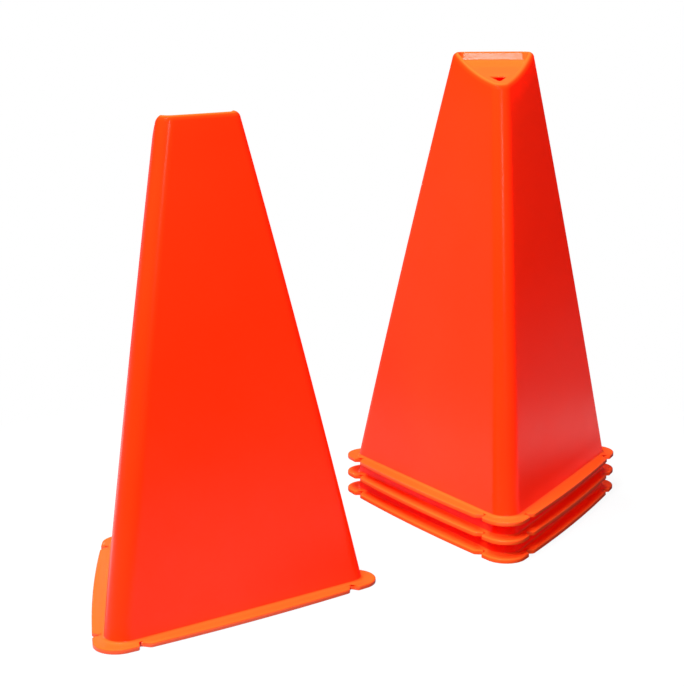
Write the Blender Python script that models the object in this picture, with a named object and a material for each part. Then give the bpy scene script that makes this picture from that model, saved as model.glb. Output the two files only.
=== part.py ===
"""A set of four training cones: three nested in a stack, and one standing by itself.

Each cone is one thin moulded shell. It is a tall hollow with three gently bowed faces, a flat
foot flange with a notch at both ends of each corner lobe, and a slanted top. The top has a
rounded rim, a sunk floor inside it and a small three-sided drain hole at the low corner.
Units are metres, +Z is up, and the cones stand on the plane Z = 0.
"""

import math

import bmesh
import bpy
from mathutils import Matrix, Vector

# The tapering body, whose plan is a triangle with rounded corners
HEIGHT = 0.3000             # floor to the crest of the rim at its high side
FOOT_SIDE = 0.1991          # side of the triangle at the floor, before its corners are rounded
HEAD_SIDE = 0.0654          # the same at the height of the crest
FOOT_CORNER = 0.0109        # corner radius at the floor
HEAD_CORNER = 0.0075        # corner radius at the height of the crest
SIDE_SWELL = 0.00205        # how much longer the side is half-way up than a straight taper gives
FACE_BOW = 0.0004           # how far a face stands out at the middle of its width
WALL = 0.00123              # thickness of the moulding

# The foot flange
FLANGE_WIDTH = 0.0063       # how far the flange stands out from the body beside a corner lobe
FLANGE_BOW = 0.0028         # how much further its edge stands out at the middle of a face
FLANGE_THICKNESS = 0.0030
FLANGE_CORNER = 0.0149      # radius of the flange's corner lobes
FLANGE_EDGE_ROUND = 0.0009
FOOT_ROUND = 0.0015         # hollow fillet between the flange and the faces
NOTCH_FROM_LOBE = 0.0090    # along the edge from the end of a lobe's round to a notch's deepest point
NOTCH_STEEP_SIDE = 0.0036   # from the deepest point to the end of the notch towards the lobe
NOTCH_GENTLE_SIDE = 0.0054  # the same towards the middle of the face
NOTCH_DEPTH = 0.0045

# The slanted top, high along the back face and low at the front corner
RIM_LEVEL = 0.0050          # how far the rim stays level behind the high face, round its two corners
RIM_DROP = 0.0182           # how much lower the rim is at the low corner
RIM_SAG = 0.0022            # how far the rim hangs below a straight slope at mid length
RIM_ROUND = 0.0033          # rounding between the faces and the crest of the rim
POCKET_DEPTH = 0.0060       # crest to sunk floor at the high side
LOW_POCKET_DEPTH = 0.0004   # crest to sunk floor at the low corner
POCKET_DRAFT = math.radians(18)
HOLE_SIDE = 0.0126          # side of the three-sided drain hole
HOLE_CORNER = 0.0011        # radius of its corners
HOLE_MARGIN = 0.0042        # from the crest to the hole's two sides beside it, seen from above

# The set: two places on the floor, and the clearance of one cone inside the next
NEST_CLEARANCE = 0.0003
STACK_AHEAD = 0.1959        # from the lone cone's axis to the stack's, along X
STACK_BEYOND = 0.1540       # the same along Y
STACK_TURN = math.radians(1.7)
LONE_TURN = math.radians(216.1)
NESTED_NAMES = ["bottom_cone", "middle_cone", "top_cone"]
LONE_NAME = "lone_cone"

# The plastic
PLASTIC_COLOUR = (1.0, 0.055, 0.012, 1.0)
PLASTIC_ROUGHNESS = 0.28

# How finely the curves are stepped
CORNERS = 3
CORNER_STEPS = 6
FACE_STEPS = 5
WALL_STEPS = 6
ROUND_STEPS = 4
FILLET_STEPS = 3
EDGE_STEPS = 2
NOTCH_STEPS = 8
SETTLE_STEPS = 12
SHARP_ANGLE = math.radians(35)

CORNER_SPAN = 2 * math.pi / CORNERS
LOW_CORNER_HEADING = -math.pi / 2
FLANGE_SIDE = FOOT_SIDE + 2 * math.sqrt(3) * FLANGE_WIDTH
FLANGE_HALF_STRAIGHT = FLANGE_SIDE / 2 - math.sqrt(3) * FLANGE_CORNER


def clear_scene():
    """Remove whatever the file holds."""
    for thing in list(bpy.data.objects):
        bpy.data.objects.remove(thing, do_unlink=True)


def heading_vector(heading):
    return Vector((math.cos(heading), math.sin(heading)))


def swell(share):
    """A parabola that is 0 at both ends of its span and 1 in the middle."""
    return 4 * share * (1 - share)


def make_spots():
    """The points of every ring: a share of the corner centres, a way out and a share of the bow."""
    spots = []
    for corner in range(CORNERS):
        heading = LOW_CORNER_HEADING + corner * CORNER_SPAN
        here = heading_vector(heading)
        there = heading_vector(heading + CORNER_SPAN)
        for step in range(CORNER_STEPS + 1):
            turn = heading + CORNER_SPAN * (step / CORNER_STEPS - 0.5)
            spots.append((here, heading_vector(turn), 0.0))
        face_out = heading_vector(heading + CORNER_SPAN / 2)
        for step in range(1, FACE_STEPS):
            share = step / FACE_STEPS
            spots.append((here.lerp(there, share), face_out, swell(share)))
    return spots


SPOTS = make_spots()


def outline_point(spot, side, corner_radius, bow, spread):
    """A point of a rounded triangle with bowed sides, moved out by spread."""
    centre_share, way_out, bow_share = spot
    reach = side / math.sqrt(3) - 2 * corner_radius
    return centre_share * reach + way_out * (corner_radius + bow * bow_share + spread)


def body_side(height):
    share = height / HEIGHT
    return FOOT_SIDE + (HEAD_SIDE - FOOT_SIDE) * share + SIDE_SWELL * swell(share)


def body_corner(height):
    return FOOT_CORNER + (HEAD_CORNER - FOOT_CORNER) * height / HEIGHT


def body_point(spot, height, spread):
    """A point of the body's section at this height, moved out by spread."""
    flat = outline_point(spot, body_side(height), body_corner(height), FACE_BOW, spread)
    return Vector((flat.x, flat.y, height))


def level_ring(height, spread):
    return [body_point(spot, height, spread) for spot in SPOTS]


def flange_ring(height, spread):
    """A ring at the flange's outer edge, moved out by spread."""
    ring = []
    for spot in SPOTS:
        flat = outline_point(spot, FLANGE_SIDE, FLANGE_CORNER, FLANGE_BOW, spread)
        ring.append(Vector((flat.x, flat.y, height)))
    return ring


def settled_point(spot, surface, spread):
    """The point of the body's section that lies on a surface giving the height at each Y."""
    height = HEIGHT
    for _ in range(SETTLE_STEPS):
        height = surface(body_point(spot, height, spread).y)
    return body_point(spot, height, spread)


def surface_ring(surface, spread):
    return [settled_point(spot, surface, spread) for spot in SPOTS]


def crest_ends():
    """The Y of the rim's crest at the low corner and at the middle of the high face."""
    low_height = HEIGHT - RIM_DROP
    low = body_side(low_height) / math.sqrt(3) - body_corner(low_height) - RIM_ROUND
    high = HEAD_SIDE / (2 * math.sqrt(3)) + FACE_BOW - RIM_ROUND
    return -low, high


def rim_height(y):
    """Height of the rim's crest, level at the high face and then a hollow fall to the low corner."""
    low, high = crest_ends()
    share = min((y - low) / (high - RIM_LEVEL - low), 1.0)
    return HEIGHT - RIM_DROP * (1 - share) - RIM_SAG * swell(share)


def floor_height(y):
    """Height of the sunk floor, a flat slope inside the rim."""
    low, high = crest_ends()
    share = (y - low) / (high - low)
    low_floor = HEIGHT - RIM_DROP - LOW_POCKET_DEPTH
    return low_floor + (HEIGHT - POCKET_DEPTH - low_floor) * share


def ceiling_height(y):
    """Height of the sunk floor's underside."""
    return floor_height(y) - WALL


def pocket_rings():
    """The foot of the pocket's wall, then the crest above it."""
    crest = surface_ring(rim_height, -RIM_ROUND)
    foot = []
    for spot, top in zip(SPOTS, crest):
        inset = (top.z - floor_height(top.y)) * math.tan(POCKET_DRAFT)
        foot.append(settled_point(spot, floor_height, -RIM_ROUND - inset))
    return [foot, crest]


def rim_round_rings():
    """The rounding from just outside the crest down to the faces."""
    rings = []
    for step in range(1, ROUND_STEPS + 1):
        angle = math.pi / 2 * (1 - step / ROUND_STEPS)
        inset = RIM_ROUND * (1 - math.cos(angle))
        drop = RIM_ROUND * (1 - math.sin(angle))
        rings.append(surface_ring(lambda y, drop=drop: rim_height(y) - drop, -inset))
    return rings


def rising_rings(foot_height, head_ring, spread, steps):
    """Rings up a face from a level foot towards a head ring, which isn't among them."""
    rings = []
    for step in range(steps):
        share = step / steps
        ring = []
        for spot, head in zip(SPOTS, head_ring):
            height = foot_height + (head.z - foot_height) * share
            ring.append(body_point(spot, height, spread))
        rings.append(ring)
    return rings


def foot_rings():
    """From the fillet under the faces out over the flange and round its edge to the floor."""
    rings = []
    for step in range(1, FILLET_STEPS + 1):
        angle = math.pi / 2 * step / FILLET_STEPS
        height = FLANGE_THICKNESS + FOOT_ROUND * (1 - math.sin(angle))
        rings.append(level_ring(height, FOOT_ROUND * (1 - math.cos(angle))))
    for step in range(EDGE_STEPS + 1):
        angle = math.pi / 2 * step / EDGE_STEPS
        height = FLANGE_THICKNESS - FLANGE_EDGE_ROUND * (1 - math.cos(angle))
        rings.append(flange_ring(height, FLANGE_EDGE_ROUND * (math.sin(angle) - 1)))
    rings.append(flange_ring(FLANGE_EDGE_ROUND / 2, 0.0))
    rings.append(flange_ring(0.0, -FLANGE_EDGE_ROUND / 2))
    return rings


def hollow_rings():
    """The inside, from the floor up to the underside of the sunk floor."""
    rings = []
    for step in range(FILLET_STEPS):
        angle = math.pi / 2 * step / FILLET_STEPS
        inset = RIM_ROUND - (RIM_ROUND - WALL) * math.cos(angle)
        drop = RIM_ROUND - (RIM_ROUND - WALL) * math.sin(angle)
        rings.append(surface_ring(lambda y, drop=drop: min(rim_height(y) - drop, ceiling_height(y)),
                                  -inset))
    return rising_rings(0.0, rings[0], -WALL, WALL_STEPS) + rings


def loft(name, rings):
    """A closed mesh through rings of equal length, with both ends filled."""
    body = bmesh.new()
    loops = [[body.verts.new(point) for point in ring] for ring in rings]
    count = len(rings[0])
    for upper, lower in zip(loops, loops[1:]):
        for index in range(count):
            following = (index + 1) % count
            body.faces.new((upper[index], upper[following], lower[following], lower[index]))
    body.faces.new(loops[0])
    body.faces.new(loops[-1])
    bmesh.ops.recalc_face_normals(body, faces=body.faces)
    mesh = bpy.data.meshes.new(name)
    body.to_mesh(mesh)
    body.free()
    return mesh


def add_object(name, mesh):
    thing = bpy.data.objects.new(name, mesh)
    bpy.context.scene.collection.objects.link(thing)
    return thing


def add_prism(body, outline, low, high):
    """Add an upright prism on a flat outline to a mesh in the making."""
    lower = [body.verts.new((point.x, point.y, low)) for point in outline]
    upper = [body.verts.new((point.x, point.y, high)) for point in outline]
    count = len(outline)
    for index in range(count):
        following = (index + 1) % count
        body.faces.new((lower[index], lower[following], upper[following], upper[index]))
    body.faces.new(lower)
    body.faces.new(upper)


def notch_outline(out, along):
    """One bite out of the flange's edge, steep towards the lobe that lies along, gentle away from it."""
    edge = FLANGE_SIDE / (2 * math.sqrt(3))
    outline = []
    for step in range(NOTCH_STEPS + 1):
        share = 2 * step / NOTCH_STEPS - 1
        reach = NOTCH_STEEP_SIDE if share > 0 else NOTCH_GENTLE_SIDE
        distance = FLANGE_HALF_STRAIGHT - NOTCH_FROM_LOBE + share * reach
        bow = FLANGE_BOW * swell((distance / FLANGE_HALF_STRAIGHT + 1) / 2)
        bite = NOTCH_DEPTH * (1 + math.cos(math.pi * share)) / 2
        outline.append(out * (edge + bow - bite) + along * distance)
    beyond = out * NOTCH_DEPTH
    return [outline[0] + beyond] + outline + [outline[-1] + beyond]


def notch_outlines():
    """The six bites, one at each end of each corner lobe."""
    outlines = []
    for face in range(CORNERS):
        out = heading_vector(LOW_CORNER_HEADING + (face + 0.5) * CORNER_SPAN)
        along = Vector((-out.y, out.x))
        outlines.append(notch_outline(out, along))
        outlines.append(notch_outline(out, -along))
    return outlines


def hole_outline():
    """The drain hole's triangle, one corner towards the low corner of the rim."""
    crest_tip = crest_ends()[0] - (body_corner(HEIGHT - RIM_DROP) - RIM_ROUND)
    tip = crest_tip + 2 * HOLE_MARGIN
    centre = Vector((0.0, tip + HOLE_SIDE / math.sqrt(3)))
    reach = HOLE_SIDE / math.sqrt(3) - 2 * HOLE_CORNER
    outline = []
    for corner in range(CORNERS):
        heading = LOW_CORNER_HEADING + corner * CORNER_SPAN
        for step in range(FILLET_STEPS + 1):
            turn = heading + CORNER_SPAN * (step / FILLET_STEPS - 0.5)
            outline.append(centre + heading_vector(heading) * reach + heading_vector(turn) * HOLE_CORNER)
    return outline


def make_cutter():
    """One object that holds the six notches and the drain hole."""
    body = bmesh.new()
    for outline in notch_outlines():
        add_prism(body, outline, -FLANGE_THICKNESS, 2 * FLANGE_THICKNESS)
    add_prism(body, hole_outline(), HEIGHT - 2 * RIM_DROP, HEIGHT)
    bmesh.ops.recalc_face_normals(body, faces=body.faces)
    mesh = bpy.data.meshes.new("cutter")
    body.to_mesh(mesh)
    body.free()
    cutter = add_object("cutter", mesh)
    cutter.hide_render = True
    cutter.display_type = "WIRE"
    return cutter


def make_cone_mesh():
    """One whole cone, standing on the floor with its axis on the Z axis."""
    rim_rings = rim_round_rings()
    outside = rising_rings(FLANGE_THICKNESS + FOOT_ROUND, rim_rings[-1], 0.0, WALL_STEPS)
    rings = pocket_rings() + rim_rings + outside[::-1] + foot_rings() + hollow_rings()
    shell = add_object("shell", loft("shell", rings))
    cutter = make_cutter()
    boolean = shell.modifiers.new("notches_and_hole", "BOOLEAN")
    boolean.operation = "DIFFERENCE"
    boolean.object = cutter
    graph = bpy.context.evaluated_depsgraph_get()
    mesh = bpy.data.meshes.new_from_object(shell.evaluated_get(graph))
    mesh.name = "cone"
    mesh.shade_smooth()
    mesh.set_sharp_from_angle(angle=SHARP_ANGLE)
    bpy.data.objects.remove(shell, do_unlink=True)
    bpy.data.objects.remove(cutter, do_unlink=True)
    return mesh


def nest_pitch():
    """How much higher each nested cone stands than the one inside it."""
    lean = (FOOT_SIDE - HEAD_SIDE - 4 * SIDE_SWELL) / (2 * math.sqrt(3) * HEIGHT)
    return (WALL + NEST_CLEARANCE) / math.sin(math.atan(lean))


def footprint(place, turn):
    """The flange's outline on the floor for a cone at this place."""
    spin = Matrix.Rotation(turn, 2)
    return [place + spin @ point.xy for point in flange_ring(0.0, 0.0)]


def set_places():
    """The two places on the floor, with the whole set's footprint centred on the origin."""
    lone = Vector((0.0, 0.0))
    stack = Vector((STACK_AHEAD, STACK_BEYOND))
    marks = footprint(lone, LONE_TURN) + footprint(stack, STACK_TURN)
    across = [mark.x for mark in marks]
    deep = [mark.y for mark in marks]
    middle = Vector((min(across) + max(across), min(deep) + max(deep))) / 2
    return lone - middle, stack - middle


def make_plastic(name):
    """Glossy moulded plastic."""
    plastic = bpy.data.materials.new(name)
    plastic.use_nodes = True
    shader = plastic.node_tree.nodes["Principled BSDF"]
    shader.inputs["Base Color"].default_value = PLASTIC_COLOUR
    shader.inputs["Roughness"].default_value = PLASTIC_ROUGHNESS
    shader.inputs["Metallic"].default_value = 0.0
    return plastic


def stand_cone(name, mesh, place, height, turn):
    """Stand one cone at its place, its origin on its own axis at the level of its foot."""
    cone = add_object(name, mesh)
    if not mesh.materials:
        mesh.materials.append(None)
    cone.material_slots[0].link = "OBJECT"
    cone.material_slots[0].material = make_plastic(name + "_plastic")
    cone.location = (place.x, place.y, height)
    cone.rotation_euler = (0.0, 0.0, turn)
    return cone


def make_set():
    mesh = make_cone_mesh()
    lone_place, stack_place = set_places()
    pitch = nest_pitch()
    for level, name in enumerate(NESTED_NAMES):
        stand_cone(name, mesh, stack_place, level * pitch, STACK_TURN)
    stand_cone(LONE_NAME, mesh, lone_place, 0.0, LONE_TURN)


clear_scene()
make_set()
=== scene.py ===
import math

import bmesh
import bpy
from mathutils import Matrix, Vector


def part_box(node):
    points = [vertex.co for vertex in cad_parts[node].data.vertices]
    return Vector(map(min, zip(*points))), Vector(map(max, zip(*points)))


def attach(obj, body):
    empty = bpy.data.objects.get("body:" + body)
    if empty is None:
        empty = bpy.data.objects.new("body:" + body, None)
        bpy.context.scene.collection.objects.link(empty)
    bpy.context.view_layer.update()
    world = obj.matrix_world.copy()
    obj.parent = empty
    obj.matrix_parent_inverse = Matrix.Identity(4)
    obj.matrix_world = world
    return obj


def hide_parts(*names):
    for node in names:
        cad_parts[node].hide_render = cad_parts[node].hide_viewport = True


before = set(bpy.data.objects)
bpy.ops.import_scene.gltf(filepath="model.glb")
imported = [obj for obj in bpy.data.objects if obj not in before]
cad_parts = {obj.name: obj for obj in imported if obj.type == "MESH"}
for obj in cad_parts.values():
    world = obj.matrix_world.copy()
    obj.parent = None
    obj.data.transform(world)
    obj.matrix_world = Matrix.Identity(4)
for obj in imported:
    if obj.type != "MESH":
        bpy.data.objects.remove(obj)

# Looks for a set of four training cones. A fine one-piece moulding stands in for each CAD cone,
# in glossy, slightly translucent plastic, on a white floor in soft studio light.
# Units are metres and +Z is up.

# The cones' sizes, as in the CAD
HEIGHT = 0.3000
FOOT_SIDE = 0.1991
HEAD_SIDE = 0.0654
FOOT_CORNER = 0.0109
HEAD_CORNER = 0.0075
SIDE_SWELL = 0.00205
FACE_BOW = 0.0004
WALL = 0.00123
FLANGE_WIDTH = 0.0063
FLANGE_BOW = 0.0028
FLANGE_THICKNESS = 0.0030
FLANGE_CORNER = 0.0149
FLANGE_EDGE_ROUND = 0.0009
FOOT_ROUND = 0.0015
NOTCH_FROM_LOBE = 0.0090
NOTCH_STEEP_SIDE = 0.0036
NOTCH_GENTLE_SIDE = 0.0054
NOTCH_DEPTH = 0.0045
RIM_LEVEL = 0.0050
RIM_DROP = 0.0182
RIM_SAG = 0.0022
RIM_ROUND = 0.0033
POCKET_DEPTH = 0.0060
LOW_POCKET_DEPTH = 0.0004
POCKET_DRAFT = math.radians(18)
HOLE_SIDE = 0.0126
HOLE_CORNER = 0.0011
HOLE_MARGIN = 0.0042
STACK_TURN = math.radians(1.7)
LONE_TURN = math.radians(216.1)

# How far the fine mouldings' flange edge stays inside the CAD's, and roundings that only they have
FLANGE_TRIM = 0.00015
CREST_ROUND = 0.0011
POCKET_FILLET = 0.0010
HOLE_LIP = 0.0003
INNER_EDGE_ROUND = 0.0003
BEND_LIMIT_SHARE = 0.4      # the most of the pocket's wall that the bend at either end may take

# Which body and node each fine moulding stands for, and how far it is turned
CONES = {
    "bottom_cone": ("stack_bottom", STACK_TURN),
    "middle_cone": ("stack_middle", STACK_TURN),
    "top_cone": ("stack_top", STACK_TURN),
    "lone_cone": ("lone", LONE_TURN),
}

# How finely the curves are stepped
CORNERS = 3
CORNER_STEPS = 14
LOBE_EDGE_STEPS = 3
NOTCH_STEPS = 7
FACE_STEPS = 22
WALL_STEPS = 28
ROUND_STEPS = 8
FILLET_STEPS = 5
FLAT_STEPS = 5
SETTLE_STEPS = 12
SHARP_ANGLE = math.radians(40)

# The mesh's own value, which is 1 on the flange and the sunk top and 0 on the walls; it also says where
# painted light makes the plastic lighter
THICK_AND_LIT_SHARE = "thick_and_lit_share"

# What follows from these
CORNER_SPAN = 2 * math.pi / CORNERS
LOW_CORNER_HEADING = -math.pi / 2
FLANGE_SIDE = FOOT_SIDE + 2 * math.sqrt(3) * FLANGE_WIDTH
FLANGE_STRAIGHT = FLANGE_SIDE - 2 * math.sqrt(3) * FLANGE_CORNER
NOTCH_START = NOTCH_FROM_LOBE - NOTCH_STEEP_SIDE
NOTCH_END = NOTCH_FROM_LOBE + NOTCH_GENTLE_SIDE
CREST_TURN = CREST_ROUND / RIM_ROUND    # the part of the rim's quarter turn that the crest's round takes


def heading_vector(heading):
    """The level direction at this angle from +X."""
    return Vector((math.cos(heading), math.sin(heading)))


def swell(share):
    """A parabola that is 0 at both ends of its span and 1 in the middle."""
    return 4 * share * (1 - share)


def face_shares():
    """Where the points of a face lie between its two corner centres, closer at the notches."""
    stops = [(0.0, NOTCH_START, LOBE_EDGE_STEPS), (NOTCH_START, NOTCH_FROM_LOBE, NOTCH_STEPS),
             (NOTCH_FROM_LOBE, NOTCH_END, NOTCH_STEPS)]
    near = []
    for start, end, steps in stops:
        near += [(start + (end - start) * step / steps) / FLANGE_STRAIGHT for step in range(1, steps + 1)]
    middle_share = 1 - 2 * near[-1]
    middle = [near[-1] + middle_share * step / FACE_STEPS for step in range(1, FACE_STEPS)]
    return near + middle + [1 - share for share in near[::-1]]


def notch_share(distance):
    """How deep a notch bites at this distance along the edge from the end of a lobe's round."""
    past = distance - NOTCH_FROM_LOBE
    reach = NOTCH_GENTLE_SIDE if past > 0 else NOTCH_STEEP_SIDE
    return (1 + math.cos(math.pi * min(abs(past) / reach, 1.0))) / 2


def make_spots():
    """The points of every ring: a corner centre, a way out, a share of the bow and a notch share."""
    spots = []
    for corner in range(CORNERS):
        heading = LOW_CORNER_HEADING + corner * CORNER_SPAN
        here = heading_vector(heading)
        there = heading_vector(heading + CORNER_SPAN)
        for step in range(CORNER_STEPS + 1):
            turn = heading + CORNER_SPAN * (step / CORNER_STEPS - 0.5)
            spots.append((here, heading_vector(turn), 0.0, 0.0))
        face_out = heading_vector(heading + CORNER_SPAN / 2)
        for share in face_shares():
            bite = notch_share(min(share, 1 - share) * FLANGE_STRAIGHT)
            spots.append((here.lerp(there, share), face_out, swell(share), bite))
    return spots


SPOTS = make_spots()


def outline_point(spot, side, corner_radius, bow, spread):
    """A point of a rounded triangle with bowed sides, moved out by spread."""
    centre_share, way_out, bow_share, _ = spot
    reach = side / math.sqrt(3) - 2 * corner_radius
    return centre_share * reach + way_out * (corner_radius + bow * bow_share + spread)


def body_side(height):
    """The side of the body's section at this height, before its corners are rounded."""
    share = height / HEIGHT
    return FOOT_SIDE + (HEAD_SIDE - FOOT_SIDE) * share + SIDE_SWELL * swell(share)


def body_corner(height):
    """The radius of the body's corners at this height."""
    return FOOT_CORNER + (HEAD_CORNER - FOOT_CORNER) * height / HEIGHT


def body_point(spot, height, spread):
    """A point of the body's section at this height, moved out by spread."""
    flat = outline_point(spot, body_side(height), body_corner(height), FACE_BOW, spread)
    return Vector((flat.x, flat.y, height))


def level_ring(height, spread):
    """The body's section at this height, moved out by spread."""
    return [body_point(spot, height, spread) for spot in SPOTS]


def flange_ring(height, spread):
    """A ring at the flange's outer edge, notches included, moved out by spread."""
    ring = []
    for spot in SPOTS:
        inward = FLANGE_TRIM + NOTCH_DEPTH * spot[3]
        flat = outline_point(spot, FLANGE_SIDE, FLANGE_CORNER, FLANGE_BOW, spread - inward)
        ring.append(Vector((flat.x, flat.y, height)))
    return ring


def settled_point(spot, surface, spread):
    """The point of the body's section that lies on a surface giving the height at each Y."""
    height = HEIGHT
    for _ in range(SETTLE_STEPS):
        height = surface(body_point(spot, height, spread).y)
    return body_point(spot, height, spread)


def surface_ring(surface, spread):
    """The ring of the body's points that lie on a surface."""
    return [settled_point(spot, surface, spread) for spot in SPOTS]


def crest_ends():
    """The Y of the rim's crest at the low corner and at the middle of the high face."""
    low_height = HEIGHT - RIM_DROP
    low = body_side(low_height) / math.sqrt(3) - body_corner(low_height) - RIM_ROUND
    high = HEAD_SIDE / (2 * math.sqrt(3)) + FACE_BOW - RIM_ROUND
    return -low, high


def rim_height(y):
    """Height of the rim's crest, level at the high face and then a hollow fall to the low corner."""
    low, high = crest_ends()
    share = min((y - low) / (high - RIM_LEVEL - low), 1.0)
    return HEIGHT - RIM_DROP * (1 - share) - RIM_SAG * swell(share)


def floor_height(y):
    """Height of the sunk floor, a flat slope inside the rim."""
    low, high = crest_ends()
    share = (y - low) / (high - low)
    low_floor = HEIGHT - RIM_DROP - LOW_POCKET_DEPTH
    return low_floor + (HEIGHT - POCKET_DEPTH - low_floor) * share


def ceiling_height(y):
    """Height of the sunk floor's underside."""
    return floor_height(y) - WALL


def arc(steps, start=0.0, end=math.pi / 2):
    """The angles of an arc's points, its ends included."""
    return [start + (end - start) * step / steps for step in range(steps + 1)]


def hole_ring(spread, depth):
    """A ring round the drain hole, whose one corner is towards the low corner of the rim."""
    crest_tip = crest_ends()[0] - (body_corner(HEIGHT - RIM_DROP) - RIM_ROUND)
    centre = Vector((0.0, crest_tip + 2 * HOLE_MARGIN + HOLE_SIDE / math.sqrt(3)))
    reach = HOLE_SIDE / math.sqrt(3) - 2 * HOLE_CORNER
    ring = []
    for centre_share, way_out, _, _ in SPOTS:
        flat = centre + centre_share * reach + way_out * (HOLE_CORNER + spread)
        ring.append(Vector((flat.x, flat.y, floor_height(flat.y) - depth)))
    return ring


def hole_rings():
    """The hole's wall, from its lower lip up to its upper one."""
    lower = [hole_ring(HOLE_LIP * (1 - math.sin(angle)), WALL - HOLE_LIP * (1 - math.cos(angle)))
             for angle in arc(FILLET_STEPS)]
    upper = [hole_ring(HOLE_LIP * (1 - math.cos(angle)), HOLE_LIP * (1 - math.sin(angle)))
             for angle in arc(FILLET_STEPS)]
    return lower + upper


def between_rings(first, last, steps):
    """Rings between two others, which aren't among them."""
    rings = []
    for step in range(1, steps):
        rings.append([a.lerp(b, step / steps) for a, b in zip(first, last)])
    return rings


def bend(before, corner, after, share):
    """A point of the curve that rounds a corner off between two points beside it."""
    return before.lerp(corner, share).lerp(corner.lerp(after, share), share)


def pocket_rings():
    """The pocket's foot with its fillet, its wall and the small round inside the crest."""
    fillet = [[] for _ in range(FILLET_STEPS + 1)]
    crest_round = [[] for _ in range(FILLET_STEPS + 1)]
    for spot in SPOTS:
        top = settled_point(spot, rim_height, -RIM_ROUND)
        inset = (top.z - floor_height(top.y)) * math.tan(POCKET_DRAFT)
        foot = settled_point(spot, floor_height, -RIM_ROUND - inset)
        inner = settled_point(spot, floor_height, -RIM_ROUND - inset - POCKET_FILLET)
        outer = settled_point(spot, lambda y: rim_height(y) - RIM_ROUND * (1 - math.cos(CREST_TURN)),
                              -RIM_ROUND * (1 - math.sin(CREST_TURN)))
        wall = (top - foot).length
        low_reach = min(POCKET_FILLET / wall, BEND_LIMIT_SHARE)
        high_reach = min(CREST_ROUND / wall, BEND_LIMIT_SHARE)
        for step in range(FILLET_STEPS + 1):
            share = step / FILLET_STEPS
            fillet[step].append(bend(inner, foot, foot.lerp(top, low_reach), share))
            crest_round[step].append(bend(top.lerp(foot, high_reach), top, outer, share))
    return fillet + between_rings(fillet[-1], crest_round[0], FILLET_STEPS) + crest_round


def rim_round_rings():
    """The rounding from just outside the crest down to the faces."""
    rings = []
    for angle in arc(ROUND_STEPS, start=CREST_TURN)[1:]:
        inset = RIM_ROUND * (1 - math.sin(angle))
        drop = RIM_ROUND * (1 - math.cos(angle))
        rings.append(surface_ring(lambda y, drop=drop: rim_height(y) - drop, -inset))
    return rings


def rising_rings(foot_height, head_ring, spread, steps):
    """Rings up a face from a level foot towards a head ring, which isn't among them."""
    rings = []
    for step in range(steps):
        ring = []
        for spot, head in zip(SPOTS, head_ring):
            height = foot_height + (head.z - foot_height) * step / steps
            ring.append(body_point(spot, height, spread))
        rings.append(ring)
    return rings


def foot_rings():
    """From the fillet under the faces out over the flange and round its edge to the floor."""
    fillet = [level_ring(FLANGE_THICKNESS + FOOT_ROUND * (1 - math.sin(angle)),
                         FOOT_ROUND * (1 - math.cos(angle)))
              for angle in arc(FILLET_STEPS)[1:]]
    upper = [flange_ring(FLANGE_THICKNESS - FLANGE_EDGE_ROUND * (1 - math.cos(angle)),
                         -FLANGE_EDGE_ROUND * (1 - math.sin(angle)))
             for angle in arc(FILLET_STEPS)]
    lower_round = FLANGE_EDGE_ROUND / 2
    lower = [flange_ring(lower_round * (1 - math.sin(angle)), -lower_round * (1 - math.cos(angle)))
             for angle in arc(FILLET_STEPS)]
    return fillet + between_rings(fillet[-1], upper[0], FLAT_STEPS) + upper + lower


def hollow_rings():
    """The inside, from the edge at the floor up to the underside of the sunk floor."""
    edge = [level_ring(INNER_EDGE_ROUND * (1 - math.cos(angle)),
                       -WALL + INNER_EDGE_ROUND * (1 - math.sin(angle)))
            for angle in arc(FILLET_STEPS)]
    head = []
    for angle in arc(ROUND_STEPS):
        inset = RIM_ROUND - (RIM_ROUND - WALL) * math.cos(angle)
        drop = RIM_ROUND - (RIM_ROUND - WALL) * math.sin(angle)
        head.append(surface_ring(
            lambda y, drop=drop: min(rim_height(y) - drop, ceiling_height(y)), -inset))
    return edge + rising_rings(INNER_EDGE_ROUND, head[0], -WALL, WALL_STEPS)[1:] + head


def with_share(rings, first_share, last_share):
    """Each ring with its share of thick plastic and painted light, which runs evenly from the first to
    the last.
    """
    gaps = max(len(rings) - 1, 1)
    return [(ring, first_share + (last_share - first_share) * index / gaps)
            for index, ring in enumerate(rings)]


def cone_rings():
    """All rings with their shares of thick plastic and painted light, from the hole up, out, down, in and
    back up.
    """
    hole = hole_rings()
    pocket = pocket_rings()
    rim = rim_round_rings()
    outside = rising_rings(FLANGE_THICKNESS + FOOT_ROUND, rim[-1], 0.0, WALL_STEPS)
    foot = foot_rings()
    hollow = hollow_rings()
    rings = with_share(hole + between_rings(hole[-1], pocket[0], FLAT_STEPS) + pocket, 1.0, 1.0)
    half = ROUND_STEPS // 2
    rings += with_share(rim[:half], 1.0, 0.0) + with_share(rim[half:] + outside[::-1], 0.0, 0.0)
    rings += with_share(foot + between_rings(foot[-1], hollow[0], FLAT_STEPS), 1.0, 1.0)
    rings += with_share(hollow, 0.0, 0.0)
    return rings + with_share(between_rings(hollow[-1], hole[0], FLAT_STEPS), 1.0, 1.0)


def make_cone_mesh():
    """One closed skin through all rings, the last joined to the first through the hole."""
    body = bmesh.new()
    thick = body.verts.layers.float.new(THICK_AND_LIT_SHARE)
    loops = []
    for ring, share in cone_rings():
        loops.append([body.verts.new(point) for point in ring])
        for corner in loops[-1]:
            corner[thick] = share
    count = len(SPOTS)
    for upper, lower in zip(loops, loops[1:] + loops[:1]):
        for index in range(count):
            following = (index + 1) % count
            body.faces.new((upper[index], upper[following], lower[following], lower[index]))
    bmesh.ops.recalc_face_normals(body, faces=body.faces)
    mesh = bpy.data.meshes.new("fine_cone")
    body.to_mesh(mesh)
    body.free()
    mesh.shade_smooth()
    mesh.set_sharp_from_angle(angle=SHARP_ANGLE)
    return mesh


# Materials

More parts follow.
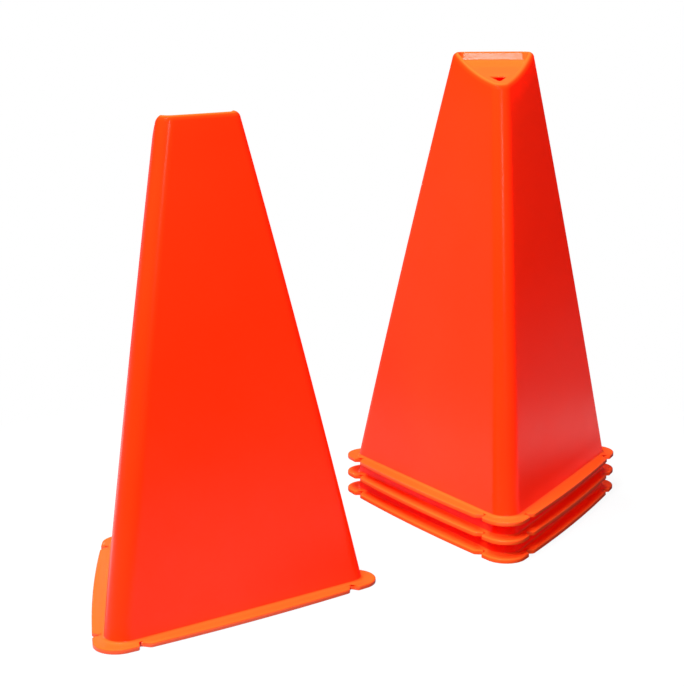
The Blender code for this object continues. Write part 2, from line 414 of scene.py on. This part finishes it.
PLASTIC_COLOUR = (0.98, 0.067, 0.006, 1.0)
PLASTIC_DEEP_COLOUR = (0.97, 0.060, 0.004, 1.0)
# Painted light: a lighter orange on the flange and the sunk top, standing in for the strong light from
# above
PAINTED_LIGHT_COLOUR = (0.98, 0.120, 0.020, 1.0)
PAINTED_LIGHT_SHARE = 0.45   # how far the flange and the sunk top go to that colour, painted light from above
THROUGH_COLOUR = (1.0, 0.004, 0.001, 1.0)
WALL_THROUGH_SHARE = 0.55
THICK_THROUGH_SHARE = 0.03
PLASTIC_IOR = 1.54
PAINTED_GLOW_COLOUR = (1.0, 0.0, 0.0, 1.0)
PAINTED_GLOW_STRENGTH = 0.12        # a painted red glow, which keeps the plastic red also in the shade
ROUGHNESS_RANGE = (0.12, 0.18)
WALL_DULLER = 0.08          # how much rougher the walls are than the thick plastic

# The patterns: features to a metre, levels of detail, and the noise values that they run between
FLOW_SCALE = 9.0
FLOW_DETAIL = 2.0
FLOW_RANGE = (0.35, 0.65)
HANDLING_SCALE = 60.0
HANDLING_DETAIL = 5.0
HANDLING_RANGE = (0.3, 0.7)
WAVE_SCALE = 22.0
WAVE_DETAIL = 1.0
WAVE_HEIGHT = 0.0006
WAVE_STRENGTH = 0.35
GRAIN_SCALE = 900.0
GRAIN_DETAIL = 3.0
GRAIN_HEIGHT = 0.00002
GRAIN_STRENGTH = 0.3


def add_node(tree, kind, **values):
    """A new shader node with these properties set."""
    node = tree.nodes.new(kind)
    for name, value in values.items():
        setattr(node, name, value)
    return node


def set_input(tree, socket, value):
    """Set a socket to a number, or link another node's result to it."""
    if isinstance(value, (int, float)):
        socket.default_value = value
    else:
        tree.links.new(value, socket)


def add_math(tree, operation, first, second):
    """A sum, product or other result of two values, each a number or a node's result."""
    result = add_node(tree, "ShaderNodeMath", operation=operation)
    set_input(tree, result.inputs[0], first)
    set_input(tree, result.inputs[1], second)
    return result.outputs["Value"]


def add_distance(tree, place, point):
    """How far a place is from a point."""
    distance = add_node(tree, "ShaderNodeVectorMath", operation="DISTANCE")
    tree.links.new(place, distance.inputs[0])
    distance.inputs[1].default_value = point
    return distance.outputs["Value"]


def add_noise(tree, place, scale, detail):
    """A noise pattern with this many features to a metre."""
    noise = add_node(tree, "ShaderNodeTexNoise")
    noise.inputs["Scale"].default_value = scale
    noise.inputs["Detail"].default_value = detail
    tree.links.new(place, noise.inputs["Vector"])
    return noise.outputs["Fac"]


def add_range(tree, value, span, target):
    """The value mapped from one span to another; the target's ends are numbers or nodes' results."""
    mapped = add_node(tree, "ShaderNodeMapRange")
    tree.links.new(value, mapped.inputs["Value"])
    for name, end in zip(("From Min", "From Max", "To Min", "To Max"), (*span, *target)):
        set_input(tree, mapped.inputs[name], end)
    return mapped.outputs["Result"]


def add_bump(tree, pattern, height, strength, below=None):
    """A bump of this full height, laid over another one where given."""
    bump = add_node(tree, "ShaderNodeBump")
    bump.inputs["Distance"].default_value = height
    bump.inputs["Strength"].default_value = strength
    tree.links.new(pattern, bump.inputs["Height"])
    if below is not None:
        tree.links.new(below, bump.inputs["Normal"])
    return bump.outputs["Normal"]


def add_plastic_colour(tree, place, thick_and_lit):
    """The moulding's orange: a faint flow pattern, and painted light that makes the flange and the sunk
    top lighter.
    """
    flow = add_noise(tree, place, FLOW_SCALE, FLOW_DETAIL)
    colour = add_node(tree, "ShaderNodeMix", data_type="RGBA")
    tree.links.new(add_range(tree, flow, FLOW_RANGE, (0.0, 1.0)), colour.inputs["Factor"])
    colour.inputs["A"].default_value = PLASTIC_DEEP_COLOUR
    colour.inputs["B"].default_value = PLASTIC_COLOUR
    # Painted light: the flange and the sunk top go part way to a lighter orange
    painted_light_mix = add_node(tree, "ShaderNodeMix", data_type="RGBA")
    painted_light_share = add_range(tree, thick_and_lit, (0.0, 1.0), (0.0, PAINTED_LIGHT_SHARE))
    tree.links.new(painted_light_share, painted_light_mix.inputs["Factor"])
    tree.links.new(colour.outputs["Result"], painted_light_mix.inputs["A"])
    painted_light_mix.inputs["B"].default_value = PAINTED_LIGHT_COLOUR
    return painted_light_mix.outputs["Result"]


def add_plastic_surface(tree, place, colour, thick_and_lit):
    """The moulding's glossy surface, with traces of handling, slow waves, fine grain and a painted red
    glow.
    """
    handling = add_noise(tree, place, HANDLING_SCALE, HANDLING_DETAIL)
    worn = add_range(tree, handling, HANDLING_RANGE, ROUGHNESS_RANGE)
    duller = add_range(tree, thick_and_lit, (0.0, 1.0), (WALL_DULLER, 0.0))
    waves = add_bump(tree, add_noise(tree, place, WAVE_SCALE, WAVE_DETAIL), WAVE_HEIGHT, WAVE_STRENGTH)
    grain = add_bump(tree, add_noise(tree, place, GRAIN_SCALE, GRAIN_DETAIL), GRAIN_HEIGHT,
                     GRAIN_STRENGTH, below=waves)
    surface = add_node(tree, "ShaderNodeBsdfPrincipled")
    surface.inputs["IOR"].default_value = PLASTIC_IOR
    # A painted red glow, as bright in the shade as in the light
    surface.inputs["Emission Color"].default_value = PAINTED_GLOW_COLOUR
    surface.inputs["Emission Strength"].default_value = PAINTED_GLOW_STRENGTH
    tree.links.new(colour, surface.inputs["Base Color"])
    tree.links.new(add_math(tree, "ADD", worn, duller), surface.inputs["Roughness"])
    tree.links.new(grain, surface.inputs["Normal"])
    return surface.outputs["BSDF"]


def make_plastic():
    """Glossy moulded plastic that lets some light through its thin walls."""
    plastic = bpy.data.materials.new("orange_plastic")
    plastic.use_nodes = True
    tree = plastic.node_tree
    tree.nodes.clear()
    place = add_node(tree, "ShaderNodeTexCoord").outputs["Object"]
    thick_and_lit = add_node(tree, "ShaderNodeAttribute", attribute_name=THICK_AND_LIT_SHARE).outputs["Fac"]
    colour = add_plastic_colour(tree, place, thick_and_lit)
    solid = add_plastic_surface(tree, place, colour, thick_and_lit)
    through = add_node(tree, "ShaderNodeBsdfTranslucent")
    through.inputs["Color"].default_value = THROUGH_COLOUR
    mix = add_node(tree, "ShaderNodeMixShader")
    through_share = add_range(tree, thick_and_lit, (0.0, 1.0), (WALL_THROUGH_SHARE, THICK_THROUGH_SHARE))
    tree.links.new(through_share, mix.inputs["Fac"])
    tree.links.new(solid, mix.inputs[1])
    tree.links.new(through.outputs["BSDF"], mix.inputs[2])
    output = add_node(tree, "ShaderNodeOutputMaterial")
    tree.links.new(mix.outputs["Shader"], output.inputs["Surface"])
    return plastic


# Placing the cones

def mesh_box(mesh):
    """The lowest and highest corner of the mesh's box."""
    points = [vertex.co for vertex in mesh.vertices]
    low = Vector([min(point[axis] for point in points) for axis in range(3)])
    high = Vector([max(point[axis] for point in points) for axis in range(3)])
    return low, high


def stand_cone(node, mesh, plastic):
    """Put a fine moulding where its CAD cone stands and let it move with that cone's body."""
    body, turn = CONES[node]
    turned = mesh.copy()
    turned.name = "fine_" + node
    turned.transform(Matrix.Rotation(turn, 4, "Z"))
    turned.materials.append(plastic)
    cone = bpy.data.objects.new("fine_" + node, turned)
    bpy.context.scene.collection.objects.link(cone)
    cad_low, cad_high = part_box(node)
    low, high = mesh_box(turned)
    middle_shift = (cad_low + cad_high - low - high) / 2
    cone.location = (middle_shift.x, middle_shift.y, cad_low.z)
    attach(cone, body)
    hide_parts(node)
    return cone


# The camera, with its angles in radians and its lens and sensor in millimetres

CAMERA_PLACE = (-0.01975, -1.05067, 0.38539)
CAMERA_DOWN = 0.22458
CAMERA_ROLL = -0.00334
CAMERA_LENS = 87.361
SENSOR_WIDTH = 36.0


def make_camera():
    """A camera at the photograph's angle, which looks along +Y and a little down."""
    data = bpy.data.cameras.new("camera")
    data.sensor_width = SENSOR_WIDTH
    data.lens = CAMERA_LENS
    camera = bpy.data.objects.new("camera", data)
    bpy.context.scene.collection.objects.link(camera)
    tilt = Matrix.Rotation(math.pi / 2 - CAMERA_DOWN, 4, "X") @ Matrix.Rotation(CAMERA_ROLL, 4, "Z")
    camera.matrix_world = Matrix.Translation(CAMERA_PLACE) @ tilt
    bpy.context.scene.camera = camera


# The floor and the surround

FLOOR_SIZE = 60.0
FLOOR_COLOUR = (0.60, 0.60, 0.60, 1.0)
FLOOR_BOUNCE = 0.12         # how bright the floor is for the light that it throws back
SHADOW_SHARE = 0.10         # how much of the floor's white is left to the light near the cones
SHADOW_REACH = (0.26, 0.45)     # where that starts to fade and where it ends, from the middle
FILL_COLOUR = (1.0, 1.0, 1.0, 1.0)
FILL_STRENGTH = 0.06        # how bright the surround is as a light

# What gloss shows of them: a white sheet round the set, and a dimmer white beyond its edge.
# A reach is where a white has halved, and its power says how sharply it falls.
SHEET_MIDDLE = (-0.04, -0.11, 0.0)
SHEET_REACH = 0.75
SHEET_EDGE_POWER = 12
BEYOND_STRENGTH = 0.32
BEYOND_REACH = 1.4
BEYOND_EDGE_POWER = 4

# The stack's shade on the sheet lies behind it to the right. It is even up to the first reach and
# has gone at the second.
STACK_SHADE_SHIFT = Vector((0.05, 0.04, 0.0))
STACK_SHADE_REACH = (0.18, 0.30)
STACK_SHADE_STRENGTH = 0.05

# Far out, gloss shows one strength at the left and another at the right, and hardly any of the room
# above the backdrop
SIDE_STRENGTHS = (0.42, 0.04)
SIDE_EDGE = (-0.7, 0.3)     # where along X one gives way to the other
ROOM_STRENGTH = 0.04
ROOM_EDGE = (0.0, 0.10)     # the heights of a direction between which the backdrop ends


def seen_strength(tree, gloss, bounce):
    """White for the camera and through what is clear, and the given values for gloss and bounces."""
    path = add_node(tree, "ShaderNodeLightPath")
    seen = add_math(tree, "MAXIMUM", path.outputs["Is Camera Ray"], path.outputs["Is Transmission Ray"])
    in_gloss = add_math(tree, "MULTIPLY", path.outputs["Is Glossy Ray"], gloss)
    in_bounce = add_math(tree, "MULTIPLY", path.outputs["Is Diffuse Ray"], bounce)
    return add_math(tree, "MAXIMUM", seen, add_math(tree, "MAXIMUM", in_gloss, in_bounce))


def add_fade(tree, distance, strength, reach, power):
    """A strength that holds close by, has halved at its reach and is gone far out."""
    fall = add_math(tree, "POWER", add_math(tree, "DIVIDE", distance, reach), power)
    return add_math(tree, "DIVIDE", strength, add_math(tree, "ADD", fall, 1.0))


def side_strength(tree, x):
    """What gloss shows far out on the floor or at the horizon, more at the left."""
    return add_range(tree, x, SIDE_EDGE, SIDE_STRENGTHS)


def sheet_strength(tree, place):
    """How bright gloss shows each place of the floor."""
    split = add_node(tree, "ShaderNodeSeparateXYZ")
    tree.links.new(place, split.inputs["Vector"])
    distance = add_distance(tree, place, SHEET_MIDDLE)
    sheet = add_fade(tree, distance, 1.0, SHEET_REACH, SHEET_EDGE_POWER)
    beyond = add_fade(tree, distance, BEYOND_STRENGTH, BEYOND_REACH, BEYOND_EDGE_POWER)
    far_out = add_math(tree, "MAXIMUM", beyond, side_strength(tree, split.outputs["X"]))
    white = add_math(tree, "MAXIMUM", sheet, far_out)
    stack_low, stack_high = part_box("bottom_cone")
    stack_middle = ((stack_low + stack_high) / 2).to_2d().to_3d()
    from_shade = add_distance(tree, place, stack_middle + STACK_SHADE_SHIFT)
    shade = add_range(tree, from_shade, STACK_SHADE_REACH, (STACK_SHADE_STRENGTH, 1.0))
    return add_math(tree, "MULTIPLY", white, shade)


def make_paper():
    """The floor's material, white with the cones' faint shadow."""
    paper = bpy.data.materials.new("white_floor")
    paper.use_nodes = True
    tree = paper.node_tree
    tree.nodes.clear()
    place = add_node(tree, "ShaderNodeTexCoord").outputs["Object"]
    glow = add_node(tree, "ShaderNodeEmission")
    strength = seen_strength(tree, sheet_strength(tree, place), FLOOR_BOUNCE)
    tree.links.new(strength, glow.inputs["Strength"])
    plain = add_node(tree, "ShaderNodeBsdfDiffuse")
    plain.inputs["Color"].default_value = FLOOR_COLOUR
    distance = add_distance(tree, place, (0.0, 0.0, 0.0))
    shadow = add_range(tree, distance, SHADOW_REACH, (SHADOW_SHARE, 0.0))
    path = add_node(tree, "ShaderNodeLightPath")
    mix = add_node(tree, "ShaderNodeMixShader")
    tree.links.new(add_math(tree, "MULTIPLY", shadow, path.outputs["Is Camera Ray"]), mix.inputs["Fac"])
    tree.links.new(glow.outputs["Emission"], mix.inputs[1])
    tree.links.new(plain.outputs["BSDF"], mix.inputs[2])
    output = add_node(tree, "ShaderNodeOutputMaterial")
    tree.links.new(mix.outputs["Shader"], output.inputs["Surface"])
    return paper


def make_floor():
    """A large flat floor."""
    mesh = bpy.data.meshes.new("floor")
    half = FLOOR_SIZE / 2
    mesh.from_pydata([(-half, -half, 0), (half, -half, 0), (half, half, 0), (-half, half, 0)],
                     [], [(0, 1, 2, 3)])
    mesh.materials.append(make_paper())
    floor = bpy.data.objects.new("floor", mesh)
    bpy.context.scene.collection.objects.link(floor)


def make_world():
    """A white surround for what is seen, dim in the gloss, and an even fill of light."""
    world = bpy.data.worlds.new("surround")
    bpy.context.scene.world = world
    world.use_nodes = True
    tree = world.node_tree
    tree.nodes.clear()
    direction = add_node(tree, "ShaderNodeSeparateXYZ")
    tree.links.new(add_node(tree, "ShaderNodeTexCoord").outputs["Generated"], direction.inputs["Vector"])
    above = add_range(tree, direction.outputs["Z"], ROOM_EDGE, (0.0, 1.0))
    sides = side_strength(tree, direction.outputs["X"])
    room = add_range(tree, above, (0.0, 1.0), (sides, ROOM_STRENGTH))
    light = add_node(tree, "ShaderNodeBackground")
    light.inputs["Color"].default_value = FILL_COLOUR
    tree.links.new(seen_strength(tree, room, FILL_STRENGTH), light.inputs["Strength"])
    output = add_node(tree, "ShaderNodeOutputWorld")
    tree.links.new(light.outputs["Background"], output.inputs["Surface"])


# The lamps: where each stands, the point that it aims at, its width and height, and its power

KEY_PLACE = (-0.41, -1.13, 1.49)
KEY_AIM = (0.0, 0.0, 0.15)
KEY_SIZE = (0.8, 0.8)
KEY_POWER = 44.0
TOP_PLACE = (-0.44, -0.24, 1.60)
TOP_AIM = (0.0, 0.0, 0.10)
TOP_SIZE = (0.8, 0.8)
TOP_POWER = 51.0
BACK_PLACE = (-0.50, 1.50, 0.42)
BACK_AIM = (0.0, 0.0, 0.15)
BACK_SIZE = (0.6, 0.6)
BACK_POWER = 30.0
FRONT_PLACE = (0.30, -1.28, 0.79)
FRONT_AIM = (0.085, 0.12, 0.30)
FRONT_SIZE = (0.22, 0.17)
FRONT_POWER = 1.33


def add_softbox(name, place, aim, size, power, in_gloss=False):
    """A soft rectangular lamp at a place, turned towards the point that it aims at."""
    data = bpy.data.lights.new(name, "AREA")
    data.shape = "RECTANGLE"
    data.size, data.size_y = size
    data.energy = power
    lamp = bpy.data.objects.new(name, data)
    bpy.context.scene.collection.objects.link(lamp)
    lamp.location = place
    lamp.rotation_euler = (Vector(aim) - Vector(place)).to_track_quat("-Z", "Y").to_euler()
    lamp.visible_camera = False
    lamp.visible_glossy = in_gloss
    return lamp


def make_lights():
    """Three large lamps out of the gloss, and a small one in it that the sunk top mirrors."""
    add_softbox("key_light", KEY_PLACE, KEY_AIM, KEY_SIZE, KEY_POWER)
    add_softbox("top_light", TOP_PLACE, TOP_AIM, TOP_SIZE, TOP_POWER)
    add_softbox("back_light", BACK_PLACE, BACK_AIM, BACK_SIZE, BACK_POWER)
    add_softbox("front_light", FRONT_PLACE, FRONT_AIM, FRONT_SIZE, FRONT_POWER, in_gloss=True)


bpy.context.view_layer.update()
fine_mesh = make_cone_mesh()
shared_plastic = make_plastic()
for cad_node in CONES:
    stand_cone(cad_node, fine_mesh, shared_plastic)
make_floor()
make_world()
make_lights()
make_camera()
bpy.context.scene.view_settings.view_transform = "Standard"
